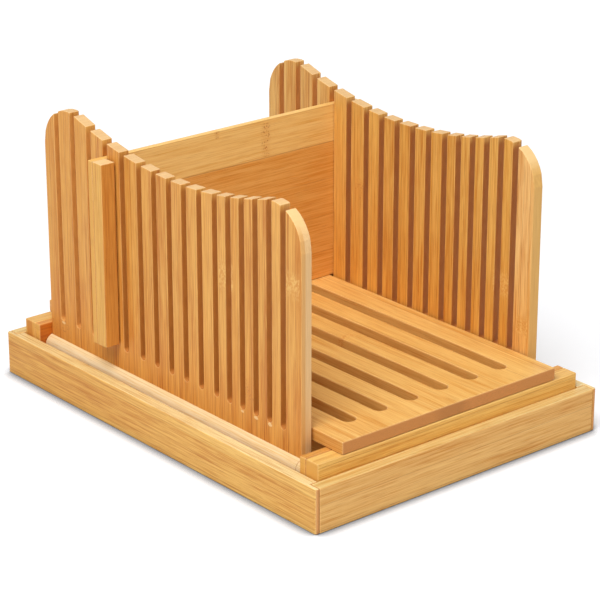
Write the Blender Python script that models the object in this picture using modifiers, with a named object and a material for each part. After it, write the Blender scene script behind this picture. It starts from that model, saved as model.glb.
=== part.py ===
"""Bread slicing guide in bamboo, with a crumb tray.

A base frame stands in the tray and carries a loose slotted board, two comb walls that
turn on pins in the frame, and a stop that stands in one pair of saw slots. Metres, Z up.
X runs across the loaf and Y along it. The open end, where slices fall, faces -Y.
"""
import math

import bmesh
import bpy
from mathutils import Matrix, Vector

MM = 0.001

# Fits and edges
GLUE_GAP = 0.3 * MM         # between pieces that are glued to or stand on each other
PIN_FIT = 0.2 * MM          # round a pin or peg in its hole, on the radius
SCREW_FIT = 0.3 * MM        # round a screw in its hole, on the radius
EASED_EDGE = 0.7 * MM       # rounding of the tray, frame and board edges
COMB_EDGE = 0.45 * MM       # rounding of the thin comb walls and the stop

# Comb walls, whose length sets the depth of everything else
WALL_GAP = 185 * MM       # clear width for the loaf
WALL_THICKNESS = 8 * MM
WALL_RISE = 128.3 * MM      # board to the lowest point of the curved top edge
DIP_FORWARD = 5 * MM        # that point, forward of the frame's middle
TOP_RADIUS = 335 * MM
CORNER_RADIUS = 27 * MM
SLOT_WIDTH = 5 * MM
SLOT_BELOW_BOARD = 3.8 * MM  # slots end below the board's top
REAR_TOOTH = 14.2 * MM      # rear edge to the middle of the first slot
FRONT_TOOTH = 17.5 * MM     # middle of the last slot to the front edge
THICK_PITCH = 18.2 * MM
MEDIUM_PITCH = 15.6 * MM
THIN_PITCH = 13.2 * MM
SLOTS_PER_PITCH = 5         # intervals of each spacing, thick ones at the rear
WALL_SETBACK = 10 * MM      # front edge behind the front strip

# Foot barrels and the pins that they turn on
BARREL_RADIUS = 6.7 * MM
PIN_RADIUS = 2 * MM
PIN_IN_BARREL = 14 * MM
PIN_END_COVER = 4 * MM      # wood left between a pin's hole and the bar's outer face
PIN_TOP_COVER = 1.2 * MM    # wood left between a pin's hole and the wall's seat
FOLD_GAP = 0.3 * MM         # between the two walls once folded
FOLD_CLEARANCE = 0.8 * MM   # between the rails and the lower wall once folded

# Base frame
FRAME_BEYOND_BARREL = 4.6 * MM
FRAME_ABOVE_PIVOT = 6.9 * MM  # above the higher pair of pins
BAR_DEPTH = 11.4 * MM
STRIP_DEPTH = 5.4 * MM      # strip glued to a bar's inner face
RAIL_WIDTH = 10 * MM
RAIL_HEIGHT = 10 * MM
RAIL_INSET = 1.3 * MM       # from the board's edge

# Screws that hold the rails
SCREW_LENGTH = 38 * MM
SCREW_RADIUS = 1.75 * MM
SCREW_HEAD_RADIUS = 3.5 * MM
SCREW_HEAD_DEPTH = 2.5 * MM
SCREW_TIP = 3 * MM
SCREW_SINK = 0.8 * MM       # head below the bar's face

# Board
BOARD_THICKNESS = 8.4 * MM
BOARD_SIDE_GAP = 1.8 * MM   # to each wall
BOARD_SETBACK = 0.4 * MM    # behind the bars' outer faces
CRUMB_SLOTS = 6
CRUMB_SLOT_WIDTH = 9.8 * MM
CRUMB_SLOT_PITCH = 25.8 * MM
CRUMB_SLOT_LAND = 20.3 * MM  # solid board beyond each end of a slot

# Pegs that keep the board in place
PEG_RADIUS = 3 * MM
PEG_IN_BAR = 10 * MM
PEG_IN_BOARD = 4 * MM
PEG_INSET = 11.3 * MM       # from the board's side edges

# Stop
STOP_SLOT = 4               # counted from the rear
STOP_PLAY = 0.4 * MM        # on each face of the plate in its slots
STOP_HEIGHT = 126.2 * MM
BATTEN_WIDTH = 10.8 * MM
BATTEN_DEPTH = 10 * MM
BATTEN_GAP = 1.2 * MM       # to the wall's outer face

# Crumb tray
TRAY_HEIGHT = 30 * MM
TRAY_SIDE = 8.5 * MM        # thickness of the four sides
TRAY_SIDE_GAP = 1.0 * MM    # to the bars' ends
TRAY_END_GAP = 0.9 * MM     # to the bars' faces
CORNER_LIP = 2.8 * MM       # what the left and right keep outside their rabbets
CORNER_ROUND = 1.8 * MM     # rounding of the tray's upright corners
FLOOR_THICKNESS = 4 * MM
FLOOR_LIFT = 3 * MM         # from the table to the groove
GROOVE_DEPTH = 4 * MM
FLOOR_PLAY = 0.5 * MM       # left in the bottom of the groove

# Places across the guide
WALL_INNER_X = WALL_GAP / 2
WALL_OUTER_X = WALL_INNER_X + WALL_THICKNESS
PIVOT_X = WALL_INNER_X + BARREL_RADIUS
BAR_END_X = PIVOT_X + BARREL_RADIUS + FRAME_BEYOND_BARREL
TRAY_INNER_X = BAR_END_X + TRAY_SIDE_GAP
TRAY_OUTER_X = TRAY_INNER_X + TRAY_SIDE
BOARD_HALF_X = WALL_INNER_X - BOARD_SIDE_GAP
RAIL_X = BOARD_HALF_X - RAIL_INSET - RAIL_WIDTH / 2
PEG_X = BOARD_HALF_X - PEG_INSET
STOP_HALF_X = WALL_OUTER_X + BATTEN_GAP + BATTEN_WIDTH

# Places along the guide, from its middle outwards
WALL_LENGTH = REAR_TOOTH + SLOTS_PER_PITCH * (THICK_PITCH + MEDIUM_PITCH + THIN_PITCH) + FRONT_TOOTH
STRIP_INNER_Y = (WALL_SETBACK + WALL_LENGTH + GLUE_GAP) / 2
STRIP_OUTER_Y = STRIP_INNER_Y + STRIP_DEPTH
BAR_INNER_Y = STRIP_OUTER_Y + GLUE_GAP
BAR_OUTER_Y = BAR_INNER_Y + BAR_DEPTH
TRAY_INNER_Y = BAR_OUTER_Y + TRAY_END_GAP
TRAY_OUTER_Y = TRAY_INNER_Y + TRAY_SIDE
BARREL_HALF_Y = STRIP_INNER_Y - GLUE_GAP
WALL_REAR_Y = BARREL_HALF_Y
WALL_FRONT_Y = WALL_REAR_Y - WALL_LENGTH
PIN_HOLE_END_Y = BAR_OUTER_Y - PIN_END_COVER
BOARD_HALF_Y = BAR_OUTER_Y - BOARD_SETBACK
PEG_Y = (BAR_OUTER_Y + BAR_INNER_Y) / 2
SCREW_HEAD_Y = BAR_OUTER_Y - SCREW_SINK
SCREW_TIP_Y = SCREW_HEAD_Y - SCREW_LENGTH

# Heights above the table
FLOOR_BOTTOM = FLOOR_LIFT + GLUE_GAP
FLOOR_TOP = FLOOR_BOTTOM + FLOOR_THICKNESS
FRAME_BOTTOM = FLOOR_TOP + GLUE_GAP
RAIL_Z = FRAME_BOTTOM + RAIL_HEIGHT / 2
LOW_PIVOT = FRAME_BOTTOM + RAIL_HEIGHT + FOLD_CLEARANCE + BARREL_RADIUS
HIGH_PIVOT = LOW_PIVOT + WALL_THICKNESS + FOLD_GAP
SEAT_RISE = PIN_RADIUS + PIN_FIT + PIN_TOP_COVER  # a wall's seat above its pivot
FRAME_TOP = HIGH_PIVOT + FRAME_ABOVE_PIVOT
BOARD_BOTTOM = FRAME_TOP + GLUE_GAP
BOARD_TOP = BOARD_BOTTOM + BOARD_THICKNESS
SLOT_BOTTOM = BOARD_TOP - SLOT_BELOW_BOARD
DIP_HEIGHT = BOARD_TOP + WALL_RISE
STOP_BOTTOM = BOARD_TOP + GLUE_GAP
STOP_TOP = STOP_BOTTOM + STOP_HEIGHT

SIDES = {"left": -1, "right": 1}
ENDS = {"front": -1, "rear": 1}
PIVOT_HEIGHT = {-1: LOW_PIVOT, 1: HIGH_PIVOT}  # the right wall folds down on the left one
PAST = 2 * MM               # how far a cutter runs past a face

# Colours as linear values
PALE = (0.74, 0.46, 0.20)
HONEY = (0.68, 0.37, 0.13)
AMBER = (0.60, 0.28, 0.085)
GREY = (0.55, 0.55, 0.56)


# Scene, materials and modifiers

def clear_scene():
    for item in list(bpy.data.objects):
        bpy.data.objects.remove(item, do_unlink=True)


def new_collection(name):
    collection = bpy.data.collections.new(name)
    bpy.context.scene.collection.children.link(collection)
    return collection


def material(name, colour, roughness=0.5, metallic=0.0):
    made = bpy.data.materials.new(name)
    made.use_nodes = True
    shader = made.node_tree.nodes["Principled BSDF"]
    shader.inputs["Base Color"].default_value = (*colour, 1.0)
    shader.inputs["Roughness"].default_value = roughness
    shader.inputs["Metallic"].default_value = metallic
    made.diffuse_color = (*colour, 1.0)
    return made


clear_scene()
PART = new_collection("bread_slicing_guide")
CUTTERS = new_collection("cutters")
PALE_BAMBOO = material("pale_bamboo", PALE)
HONEY_BAMBOO = material("honey_bamboo", HONEY)
AMBER_BAMBOO = material("amber_bamboo", AMBER)
STEEL = material("steel", GREY, roughness=0.35, metallic=1.0)
CUTTER_RED = material("cutter_red", (0.8, 0.1, 0.1))


def attach(item, location, parent):
    """Parent an object and put it at a place given in the world."""
    item.parent = parent
    origin = Vector((0, 0, 0))
    above = parent
    while above:
        origin += above.location
        above = above.parent
    item.location = Vector(location) - origin


def joint_empty(name, location, parent=None):
    """An empty on a joint's axis, which carries the pieces that move with it."""
    empty = bpy.data.objects.new(name, None)
    empty.empty_display_size = 20 * MM
    PART.objects.link(empty)
    attach(empty, location, parent)
    return empty


def object_from(bm, name, look, location, parent):
    mesh = bpy.data.meshes.new(name)
    bm.to_mesh(mesh)
    bm.free()
    mesh.materials.append(look)
    item = bpy.data.objects.new(name, mesh)
    PART.objects.link(item)
    attach(item, location, parent)
    return item


def ease(item, width):
    """Round every sharp edge that a piece has so far."""
    bevel = item.modifiers.new("eased_edges", "BEVEL")
    bevel.width = width
    bevel.segments = 2
    bevel.limit_method = "ANGLE"
    bevel.angle_limit = math.radians(40)


def cut(item, cutter):
    """Take a cutter out of a piece and put the cutter away."""
    boolean = item.modifiers.new("cut_" + cutter.name, "BOOLEAN")
    boolean.operation = "DIFFERENCE"
    boolean.solver = "EXACT"
    boolean.object = cutter
    PART.objects.unlink(cutter)
    CUTTERS.objects.link(cutter)
    cutter.display_type = "WIRE"
    cutter.hide_render = True


# Basic shapes, each given by its place in the world

def box(name, corner, opposite, look, parent=None):
    """A box between any two opposite corners."""
    low = Vector([min(pair) for pair in zip(corner, opposite)])
    high = Vector([max(pair) for pair in zip(corner, opposite)])
    bm = bmesh.new()
    bmesh.ops.create_cube(bm, size=1.0)
    bmesh.ops.scale(bm, vec=high - low, verts=bm.verts)
    return object_from(bm, name, look, (low + high) / 2, parent)


def round_bar(name, start, end, radius, look, parent=None, segments=24):
    """A cylinder from one point to another."""
    start, end = Vector(start), Vector(end)
    along = end - start
    bm = bmesh.new()
    bmesh.ops.create_cone(bm, cap_ends=True, segments=segments, radius1=radius,
                          radius2=radius, depth=along.length)
    turn = along.to_track_quat("Z", "Y").to_matrix()
    bmesh.ops.rotate(bm, cent=(0, 0, 0), matrix=turn, verts=bm.verts)
    for face in bm.faces:
        face.smooth = len(face.verts) == 4
    return object_from(bm, name, look, (start + end) / 2, parent)


def turned(name, profile, start, axis, look, parent=None, steps=16):
    """A solid turned from a profile of (radius, height) points, listed from its top down."""
    bm = bmesh.new()
    ring = [bm.verts.new((radius, 0.0, along)) for radius, along in profile]
    for first, second in zip(ring, ring[1:]):
        bm.edges.new((first, second))
    item = object_from(bm, name, look, start, parent)
    item.rotation_euler = Vector(axis).to_track_quat("Z", "Y").to_euler()
    screw = item.modifiers.new("turned", "SCREW")
    screw.axis = "Z"
    screw.steps = steps
    screw.render_steps = steps
    screw.use_merge_vertices = True
    screw.merge_threshold = 0.01 * MM
    return item


def plate_from_outline(name, outline, thickness, turn, location, look, parent=None):
    """A flat closed outline, filled and given a thickness, as a mesh."""
    curve = bpy.data.curves.new(name, "CURVE")
    curve.dimensions = "2D"
    curve.fill_mode = "BOTH"
    curve.extrude = thickness / 2
    line = curve.splines.new("POLY")
    line.points.add(len(outline) - 1)
    for point, (across, up) in zip(line.points, outline):
        point.co = (across, up, 0.0, 1.0)
    line.use_cyclic_u = True
    shape = bpy.data.objects.new(name + "_outline", curve)
    PART.objects.link(shape)
    mesh = bpy.data.meshes.new_from_object(shape)
    bm = bmesh.new()
    bm.from_mesh(mesh)
    bpy.data.objects.remove(shape)
    bpy.data.curves.remove(curve)
    bpy.data.meshes.remove(mesh)
    bmesh.ops.remove_doubles(bm, verts=bm.verts, dist=0.01 * MM)
    bmesh.ops.dissolve_limit(bm, angle_limit=math.radians(1), verts=bm.verts, edges=bm.edges)
    bmesh.ops.transform(bm, matrix=turn, verts=bm.verts)
    bmesh.ops.recalc_face_normals(bm, faces=bm.faces)
    return object_from(bm, name, look, location, parent)


def arc(centre, radius, start, end, steps):
    """Points round an arc, with angles in degrees from the first axis."""
    points = []
    for step in range(steps + 1):
        angle = math.radians(start + (end - start) * step / steps)
        points.append((centre[0] + radius * math.cos(angle), centre[1] + radius * math.sin(angle)))
    return points


# Crumb tray

def round_uprights(item, side, radius):
    """Round the two upright outer edges of a side that runs the tray's full depth."""
    bm = bmesh.new()
    bm.from_mesh(item.data)
    uprights = [edge for edge in bm.edges
                if all(vert.co.x * side > 0 for vert in edge.verts)
                and abs(edge.verts[0].co.z - edge.verts[1].co.z) > MM]
    bmesh.ops.bevel(bm, geom=uprights, offset=radius, segments=4, profile=0.5, affect="EDGES")
    bm.to_mesh(item.data)
    bm.free()


def tray_side(name, side):
    """Left or right side: it runs the full depth, with a rabbet at each end."""
    inner = side * TRAY_INNER_X
    item = box(name, (inner, -TRAY_OUTER_Y, 0), (side * TRAY_OUTER_X, TRAY_OUTER_Y, TRAY_HEIGHT),
               HONEY_BAMBOO)
    round_uprights(item, side, CORNER_ROUND)
    for end in ENDS.values():
        shoulder = end * (TRAY_INNER_Y - GLUE_GAP)
        cut(item, box("rabbet_cutter", (inner - side * PAST, shoulder, -PAST),
                      (side * (TRAY_OUTER_X - CORNER_LIP), end * (TRAY_OUTER_Y + PAST),
                       TRAY_HEIGHT + PAST), CUTTER_RED))
    cut(item, box("groove_cutter", (inner - side * PAST, -TRAY_INNER_Y, FLOOR_LIFT),
                  (inner + side * GROOVE_DEPTH, TRAY_INNER_Y, FLOOR_TOP + GLUE_GAP), CUTTER_RED))
    ease(item, EASED_EDGE)


def tray_end(name, end):
    """Front or rear side, glued between the lips of the left and right ones."""
    inner = end * TRAY_INNER_Y
    reach = TRAY_OUTER_X - CORNER_LIP - GLUE_GAP
    item = box(name, (-reach, inner, 0), (reach, end * TRAY_OUTER_Y, TRAY_HEIGHT), HONEY_BAMBOO)
    groove_end = TRAY_INNER_X + GROOVE_DEPTH
    cut(item, box("groove_cutter", (-groove_end, inner - end * PAST, FLOOR_LIFT),
                  (groove_end, inner + end * GROOVE_DEPTH, FLOOR_TOP + GLUE_GAP), CUTTER_RED))
    ease(item, EASED_EDGE)


def tray_floor():
    """Panel that stands in the grooves of the four sides."""
    x, y = (inner + GROOVE_DEPTH - FLOOR_PLAY for inner in (TRAY_INNER_X, TRAY_INNER_Y))
    box("tray_floor", (-x, -y, FLOOR_BOTTOM), (x, y, FLOOR_TOP), PALE_BAMBOO)


# Base frame

def pin_hole(side, start, finish):
    """Cutter along a wall's pivot, between two places in Y."""
    height = PIVOT_HEIGHT[side]
    return round_bar("pin_hole_cutter", (side * PIVOT_X, start, height),
                     (side * PIVOT_X, finish, height), PIN_RADIUS + PIN_FIT, CUTTER_RED)


def screw_hole(side, start, finish, radius=SCREW_RADIUS + SCREW_FIT):
    """Cutter along a rail's screws, between two places in Y."""
    return round_bar("screw_hole_cutter", (side * RAIL_X, start, RAIL_Z),
                     (side * RAIL_X, finish, RAIL_Z), radius, CUTTER_RED)


def peg_hole(side, end, start, finish):
    """Upright cutter for a board peg's hole, between two heights."""
    return round_bar("peg_hole_cutter", (side * PEG_X, end * PEG_Y, start),
                     (side * PEG_X, end * PEG_Y, finish), PEG_RADIUS + PIN_FIT, CUTTER_RED)


def bar(name, end, frame):
    """Front or rear bar, which carries the board on its top."""
    item = box(name, (-BAR_END_X, end * BAR_INNER_Y, FRAME_BOTTOM),
               (BAR_END_X, end * BAR_OUTER_Y, FRAME_TOP), HONEY_BAMBOO, frame)
    ease(item, EASED_EDGE)
    inside = end * (BAR_INNER_Y - PAST)
    sink = SCREW_HEAD_Y - SCREW_HEAD_DEPTH - SCREW_FIT
    for side in SIDES.values():
        cut(item, pin_hole(side, inside, end * PIN_HOLE_END_Y))
        cut(item, screw_hole(side, inside, end * (sink + PAST)))
        cut(item, screw_hole(side, end * sink, end * (BAR_OUTER_Y + PAST),
                             SCREW_HEAD_RADIUS + SCREW_FIT))
        cut(item, peg_hole(side, end, FRAME_TOP - PEG_IN_BAR - PIN_FIT, FRAME_TOP + PAST))


def pivot_strip(name, end, frame):
    """Strip on a bar's inner face, in which the hinge pins turn."""
    item = box(name, (-BAR_END_X, end * STRIP_INNER_Y, FRAME_BOTTOM),
               (BAR_END_X, end * STRIP_OUTER_Y, FRAME_TOP), AMBER_BAMBOO, frame)
    ease(item, EASED_EDGE)
    inside, outside = end * (STRIP_INNER_Y - PAST), end * (STRIP_OUTER_Y + PAST)
    for side in SIDES.values():
        cut(item, pin_hole(side, inside, outside))
        cut(item, screw_hole(side, inside, outside))


def rail(name, side, frame):
    """Low rail under the board's edge, from the front strip to the rear one."""
    reach = STRIP_INNER_Y - GLUE_GAP
    item = box(name, (side * (RAIL_X - RAIL_WIDTH / 2), -reach, FRAME_BOTTOM),
               (side * (RAIL_X + RAIL_WIDTH / 2), reach, FRAME_BOTTOM + RAIL_HEIGHT),
               HONEY_BAMBOO, frame)
    ease(item, EASED_EDGE)
    for end in ENDS.values():
        cut(item, screw_hole(side, end * (SCREW_TIP_Y - SCREW_FIT), end * (reach + PAST)))


def rail_screw(name, side, end, frame):
    """Countersunk screw through a bar and its strip into a rail."""
    profile = [(0, SCREW_LENGTH), (SCREW_HEAD_RADIUS, SCREW_LENGTH),
               (SCREW_RADIUS, SCREW_LENGTH - SCREW_HEAD_DEPTH), (SCREW_RADIUS, SCREW_TIP), (0, 0)]
    turned(name, profile, (side * RAIL_X, end * SCREW_TIP_Y, RAIL_Z), (0, end, 0), STEEL, frame)


def board_peg(name, side, end, frame):
    """Dowel standing in a bar, which keeps the board from shifting."""
    round_bar(name, (side * PEG_X, end * PEG_Y, FRAME_TOP - PEG_IN_BAR),
              (side * PEG_X, end * PEG_Y, FRAME_TOP + PEG_IN_BOARD), PEG_RADIUS,
              PALE_BAMBOO, frame)


# Board

def crumb_slot_outline():
    """A long slot with fully rounded ends, along Y."""
    radius = CRUMB_SLOT_WIDTH / 2
    reach = BOARD_HALF_Y - CRUMB_SLOT_LAND - radius
    return arc((0, reach), radius, 0, 180, 10) + arc((0, -reach), radius, 180, 360, 10)


def slotted_board(lift):
    """Loose board whose slots let the crumbs fall into the tray."""
    item = box("slotted_board", (-BOARD_HALF_X, -BOARD_HALF_Y, BOARD_BOTTOM),
               (BOARD_HALF_X, BOARD_HALF_Y, BOARD_TOP), PALE_BAMBOO, lift)
    middle = (BOARD_BOTTOM + BOARD_TOP) / 2
    for number in range(CRUMB_SLOTS):
        across = (number - (CRUMB_SLOTS - 1) / 2) * CRUMB_SLOT_PITCH
        cut(item, plate_from_outline("crumb_slot_cutter", crumb_slot_outline(),
                                     BOARD_THICKNESS + 2 * PAST, Matrix.Identity(4),
                                     (across, 0, middle), CUTTER_RED))
    ease(item, EASED_EDGE)
    for side in SIDES.values():
        for end in ENDS.values():
            cut(item, peg_hole(side, end, BOARD_BOTTOM - PAST,
                               FRAME_TOP + PEG_IN_BOARD + GLUE_GAP))


# Comb walls

def slot_places():
    """Y of each saw slot's middle, from the rear."""
    slot_y = WALL_REAR_Y - REAR_TOOTH
    places = [slot_y]
    for pitch in (THICK_PITCH, MEDIUM_PITCH, THIN_PITCH):
        for _ in range(SLOTS_PER_PITCH):
            slot_y -= pitch
            places.append(slot_y)
    return places


def top_edge():
    """The walls' top edge from rear to front: a corner, a long dip and a corner."""
    dip = (-DIP_FORWARD, DIP_HEIGHT + TOP_RADIUS)
    reach = TOP_RADIUS + CORNER_RADIUS
    rear_y, front_y = WALL_REAR_Y - CORNER_RADIUS, WALL_FRONT_Y + CORNER_RADIUS
    rear = (rear_y, dip[1] - math.sqrt(reach ** 2 - (rear_y - dip[0]) ** 2))
    front = (front_y, dip[1] - math.sqrt(reach ** 2 - (front_y - dip[0]) ** 2))
    rear_turn = math.degrees(math.asin((rear_y - dip[0]) / reach))
    front_turn = math.degrees(math.asin((dip[0] - front_y) / reach))
    return (arc(rear, CORNER_RADIUS, 0, 90 + rear_turn, 12)
            + arc(dip, TOP_RADIUS, 270 + rear_turn, 270 - front_turn, 24)[1:-1]
            + arc(front, CORNER_RADIUS, 90 - front_turn, 180, 12))


def height_on(edge, y):
    """Height of the top edge at a place along it."""
    for (y1, z1), (y2, z2) in zip(edge, edge[1:]):
        if y2 <= y <= y1:
            return z1 + (z2 - z1) * (y - y1) / (y2 - y1)
    raise ValueError("the top edge doesn't reach %.4f" % y)


def tooth_top(edge, rear, front):
    """Top of one tooth from its rear side to its front side, without tiny steps."""
    first = edge[0] if rear == WALL_REAR_Y else (rear, height_on(edge, rear))
    last = edge[-1] if front == WALL_FRONT_Y else (front, height_on(edge, front))
    between = [point for point in edge if front + MM < point[0] < rear - MM]
    return [first] + between + [last]


def comb_outline(foot):
    """Outline of a comb wall from its rear foot: tooth, slot with a round bottom and so on."""
    edge = top_edge()
    points = [(WALL_REAR_Y, foot)]
    rear = WALL_REAR_Y
    radius = SLOT_WIDTH / 2
    for slot_y in slot_places():
        points += tooth_top(edge, rear, slot_y + radius)
        points += arc((slot_y, SLOT_BOTTOM + radius), radius, 0, -180, 8)
        rear = slot_y - radius
    return points + tooth_top(edge, rear, WALL_FRONT_Y) + [(WALL_FRONT_Y, foot)]


def comb_wall(name, side, hinge):
    """Thin panel with a comb of saw slots, glued into the foot barrel's rebate."""
    foot = PIVOT_HEIGHT[side] + SEAT_RISE + GLUE_GAP
    outline_to_wall = Matrix(((0, 0, 1, 0), (1, 0, 0, 0), (0, 1, 0, 0), (0, 0, 0, 1)))
    item = plate_from_outline(name, comb_outline(foot), WALL_THICKNESS, outline_to_wall,
                              (side * (WALL_INNER_X + WALL_OUTER_X) / 2, 0, 0),
                              HONEY_BAMBOO, hinge)
    ease(item, COMB_EDGE)


def foot_barrel(name, side, hinge):
    """Round foot that the wall stands in and turns on."""
    height = PIVOT_HEIGHT[side]
    item = round_bar(name, (side * PIVOT_X, -BARREL_HALF_Y, height),
                     (side * PIVOT_X, BARREL_HALF_Y, height), BARREL_RADIUS, PALE_BAMBOO,
                     hinge, segments=32)
    cut(item, box("rebate_cutter",
                  (side * (WALL_INNER_X - PAST), WALL_FRONT_Y - GLUE_GAP, height + SEAT_RISE),
                  (side * (WALL_OUTER_X + GLUE_GAP), BARREL_HALF_Y + PAST,
                   height + BARREL_RADIUS + PAST), CUTTER_RED))
    for end in ENDS.values():
        cut(item, pin_hole(side, end * (BARREL_HALF_Y - PIN_IN_BARREL - PIN_FIT),
                           end * (BARREL_HALF_Y + PAST)))


def hinge_pin(name, side, end, hinge):
    """Pin in a barrel's end, which turns in the strip and the bar."""
    height = PIVOT_HEIGHT[side]
    round_bar(name, (side * PIVOT_X, end * (BARREL_HALF_Y - PIN_IN_BARREL), height),
              (side * PIVOT_X, end * (PIN_HOLE_END_Y - PIN_FIT), height), PIN_RADIUS,
              AMBER_BAMBOO, hinge)


# Stop

STOP_Y = slot_places()[STOP_SLOT - 1]
STOP_FRONT_Y = STOP_Y - SLOT_WIDTH / 2 + STOP_PLAY
STOP_REAR_Y = STOP_Y + SLOT_WIDTH / 2 - STOP_PLAY


def stop_plate(lift):
    """Plate across the guide, whose ends stand in a pair of saw slots."""
    item = box("stop_plate", (-STOP_HALF_X, STOP_FRONT_Y, STOP_BOTTOM),
               (STOP_HALF_X, STOP_REAR_Y, STOP_TOP), HONEY_BAMBOO, lift)
    ease(item, COMB_EDGE)


def stop_batten(name, side, lift):
    """Upright glued to the plate's end, outside a wall."""
    face = STOP_FRONT_Y - GLUE_GAP
    item = box(name, (side * (WALL_OUTER_X + BATTEN_GAP), face - BATTEN_DEPTH, STOP_BOTTOM),
               (side * STOP_HALF_X, face, STOP_TOP), PALE_BAMBOO, lift)
    ease(item, COMB_EDGE)


def main():
    for end_name, end in ENDS.items():
        tray_end("tray_" + end_name, end)
    for side_name, side in SIDES.items():
        tray_side("tray_" + side_name + "_side", side)
    tray_floor()

    frame = joint_empty("frame_lift", (0, 0, FRAME_BOTTOM))
    for end_name, end in ENDS.items():
        bar(end_name + "_bar", end, frame)
        pivot_strip(end_name + "_pivot_strip", end, frame)
        for side_name, side in SIDES.items():
            board_peg("board_peg_%s_%s" % (end_name, side_name), side, end, frame)
            rail_screw("rail_screw_%s_%s" % (end_name, side_name), side, end, frame)
    for side_name, side in SIDES.items():
        rail(side_name + "_rail", side, frame)

    board = joint_empty("board_lift", (0, 0, BOARD_BOTTOM), frame)
    slotted_board(board)

    for side_name, side in SIDES.items():
        hinge = joint_empty(side_name + "_wall_hinge",
                            (side * PIVOT_X, 0, PIVOT_HEIGHT[side]), frame)
        comb_wall(side_name + "_comb_wall", side, hinge)
        foot_barrel(side_name + "_foot_barrel", side, hinge)
        for end_name, end in ENDS.items():
            hinge_pin("%s_hinge_pin_%s" % (side_name, end_name), side, end, hinge)

    stop = joint_empty("stop_lift", (0, STOP_Y, STOP_BOTTOM), board)
    stop_plate(stop)
    for side_name, side in SIDES.items():
        stop_batten(side_name + "_stop_batten", side, stop)


main()
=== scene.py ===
"""Bamboo bread slicing guide: finishes, turned pieces and a plain studio for the packed model."""

import math

import bmesh
import bpy
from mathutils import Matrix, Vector


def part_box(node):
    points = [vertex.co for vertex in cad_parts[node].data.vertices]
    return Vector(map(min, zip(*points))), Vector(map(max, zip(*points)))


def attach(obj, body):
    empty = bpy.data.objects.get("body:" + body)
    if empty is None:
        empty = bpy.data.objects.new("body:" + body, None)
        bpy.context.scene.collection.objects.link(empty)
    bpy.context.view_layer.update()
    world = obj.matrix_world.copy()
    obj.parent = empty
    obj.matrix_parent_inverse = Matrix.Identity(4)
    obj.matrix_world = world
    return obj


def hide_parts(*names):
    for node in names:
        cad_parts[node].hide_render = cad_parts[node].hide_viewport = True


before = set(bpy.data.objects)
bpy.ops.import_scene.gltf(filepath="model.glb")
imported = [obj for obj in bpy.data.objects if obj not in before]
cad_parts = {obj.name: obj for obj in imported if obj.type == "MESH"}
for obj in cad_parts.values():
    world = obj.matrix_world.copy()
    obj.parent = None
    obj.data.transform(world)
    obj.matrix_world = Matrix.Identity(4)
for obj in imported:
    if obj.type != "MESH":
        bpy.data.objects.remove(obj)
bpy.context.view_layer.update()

bl_info = {
    "name": "Bread slicing guide",
    "version": (1, 0, 0),
    "blender": (4, 5, 0),
    "location": "3D View > Sidebar > Slicing guide",
    "description": "Finishes and stages a bamboo bread slicing guide",
    "category": "Object",
}

MM = 0.001
AXES = ("x", "y", "z")
SIDES = {"left": -1, "right": 1}
ENDS = {"front": -1, "rear": 1}

# The comb walls' top edge: a long dip between two corners
DIP_PLACE = -5 * MM
DIP_CENTRE = 512.3 * MM
DIP_RADIUS = 335 * MM
CORNER_RADIUS = 27 * MM


# How strongly each size of streak changes the tone
FINE_STREAKS = 2.1
MIDDLE_STREAKS = 1.5
BROAD_STREAKS = 0.9


# Sizes and colours a user may change


def colour_field(name, description, default):
    """A colour of a finish, as linear red, green and blue."""
    return bpy.props.FloatVectorProperty(
        name=name, description=description, default=default,
        size=3, min=0.0, max=1.0, subtype="COLOR")


def length_field(name, description, default):
    """A length in metres."""
    return bpy.props.FloatProperty(
        name=name, description=description, default=default,
        min=0.0, precision=5, subtype="DISTANCE", unit="LENGTH")


def share_field(name, description, default):
    """A share from 0 to 1."""
    return bpy.props.FloatProperty(
        name=name, description=description, default=default,
        min=0.0, max=1.0, subtype="FACTOR")


class BambooTones(bpy.types.PropertyGroup):
    """Colours of the bamboo."""

    honey: colour_field("Honey", "Middle tone of the strips", (0.71, 0.335, 0.058))
    pale: colour_field("Pale", "Lightest strips", (0.79, 0.425, 0.098))
    straw: colour_field("Straw", "Light tone of the board, bars and stop", (0.86, 0.53, 0.165))
    cream: colour_field("Cream", "Sanded edges and tops", (0.86, 0.59, 0.28))
    amber: colour_field("Amber", "Darkest strips", (0.53, 0.19, 0.026))
    # The slot sides' brown is partly the sawn wood's own colour and partly painted shade inside the
    # slots.
    sawn_and_shade: colour_field("Sawn", "Sides of the saw slots", (0.56, 0.213, 0.037))
    end_grain: colour_field("End grain", "Cut ends of the strips", (0.62, 0.31, 0.10))
    redwood: colour_field("Red ply", "Reddish plies and cut ends", (0.66, 0.25, 0.06))
    glue_line: colour_field("Glue line", "Joints between strips", (0.34, 0.13, 0.03))
    knot: colour_field("Knot", "Dark knots across a strip", (0.42, 0.13, 0.022))


class BambooGrain(bpy.types.PropertyGroup):
    """Sizes of the bamboo's grain."""

    wall_strip: length_field("Wall strip", "Width of a strip in the comb walls", 6.1 * MM)
    board_strip: length_field("Board strip", "Width of a strip in the board", 19.6 * MM)
    frame_strip: length_field("Frame strip", "Width of a strip in bars and rails", 8.1 * MM)
    tray_strip: length_field("Tray strip", "Width of a strip in the tray", 10.3 * MM)
    fibre_width: length_field("Fibre width", "Width of the finest streaks", 0.42 * MM)
    fibre_length: length_field("Fibre length", "Length of the finest streaks", 26 * MM)
    relief: length_field("Relief", "Depth of the grain's relief", 0.12 * MM)
    line_width: length_field("Line width", "Width of a glue line", 0.28 * MM)
    edge_wear: share_field("Edge wear", "How pale the eased edges are", 0.55)


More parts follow.
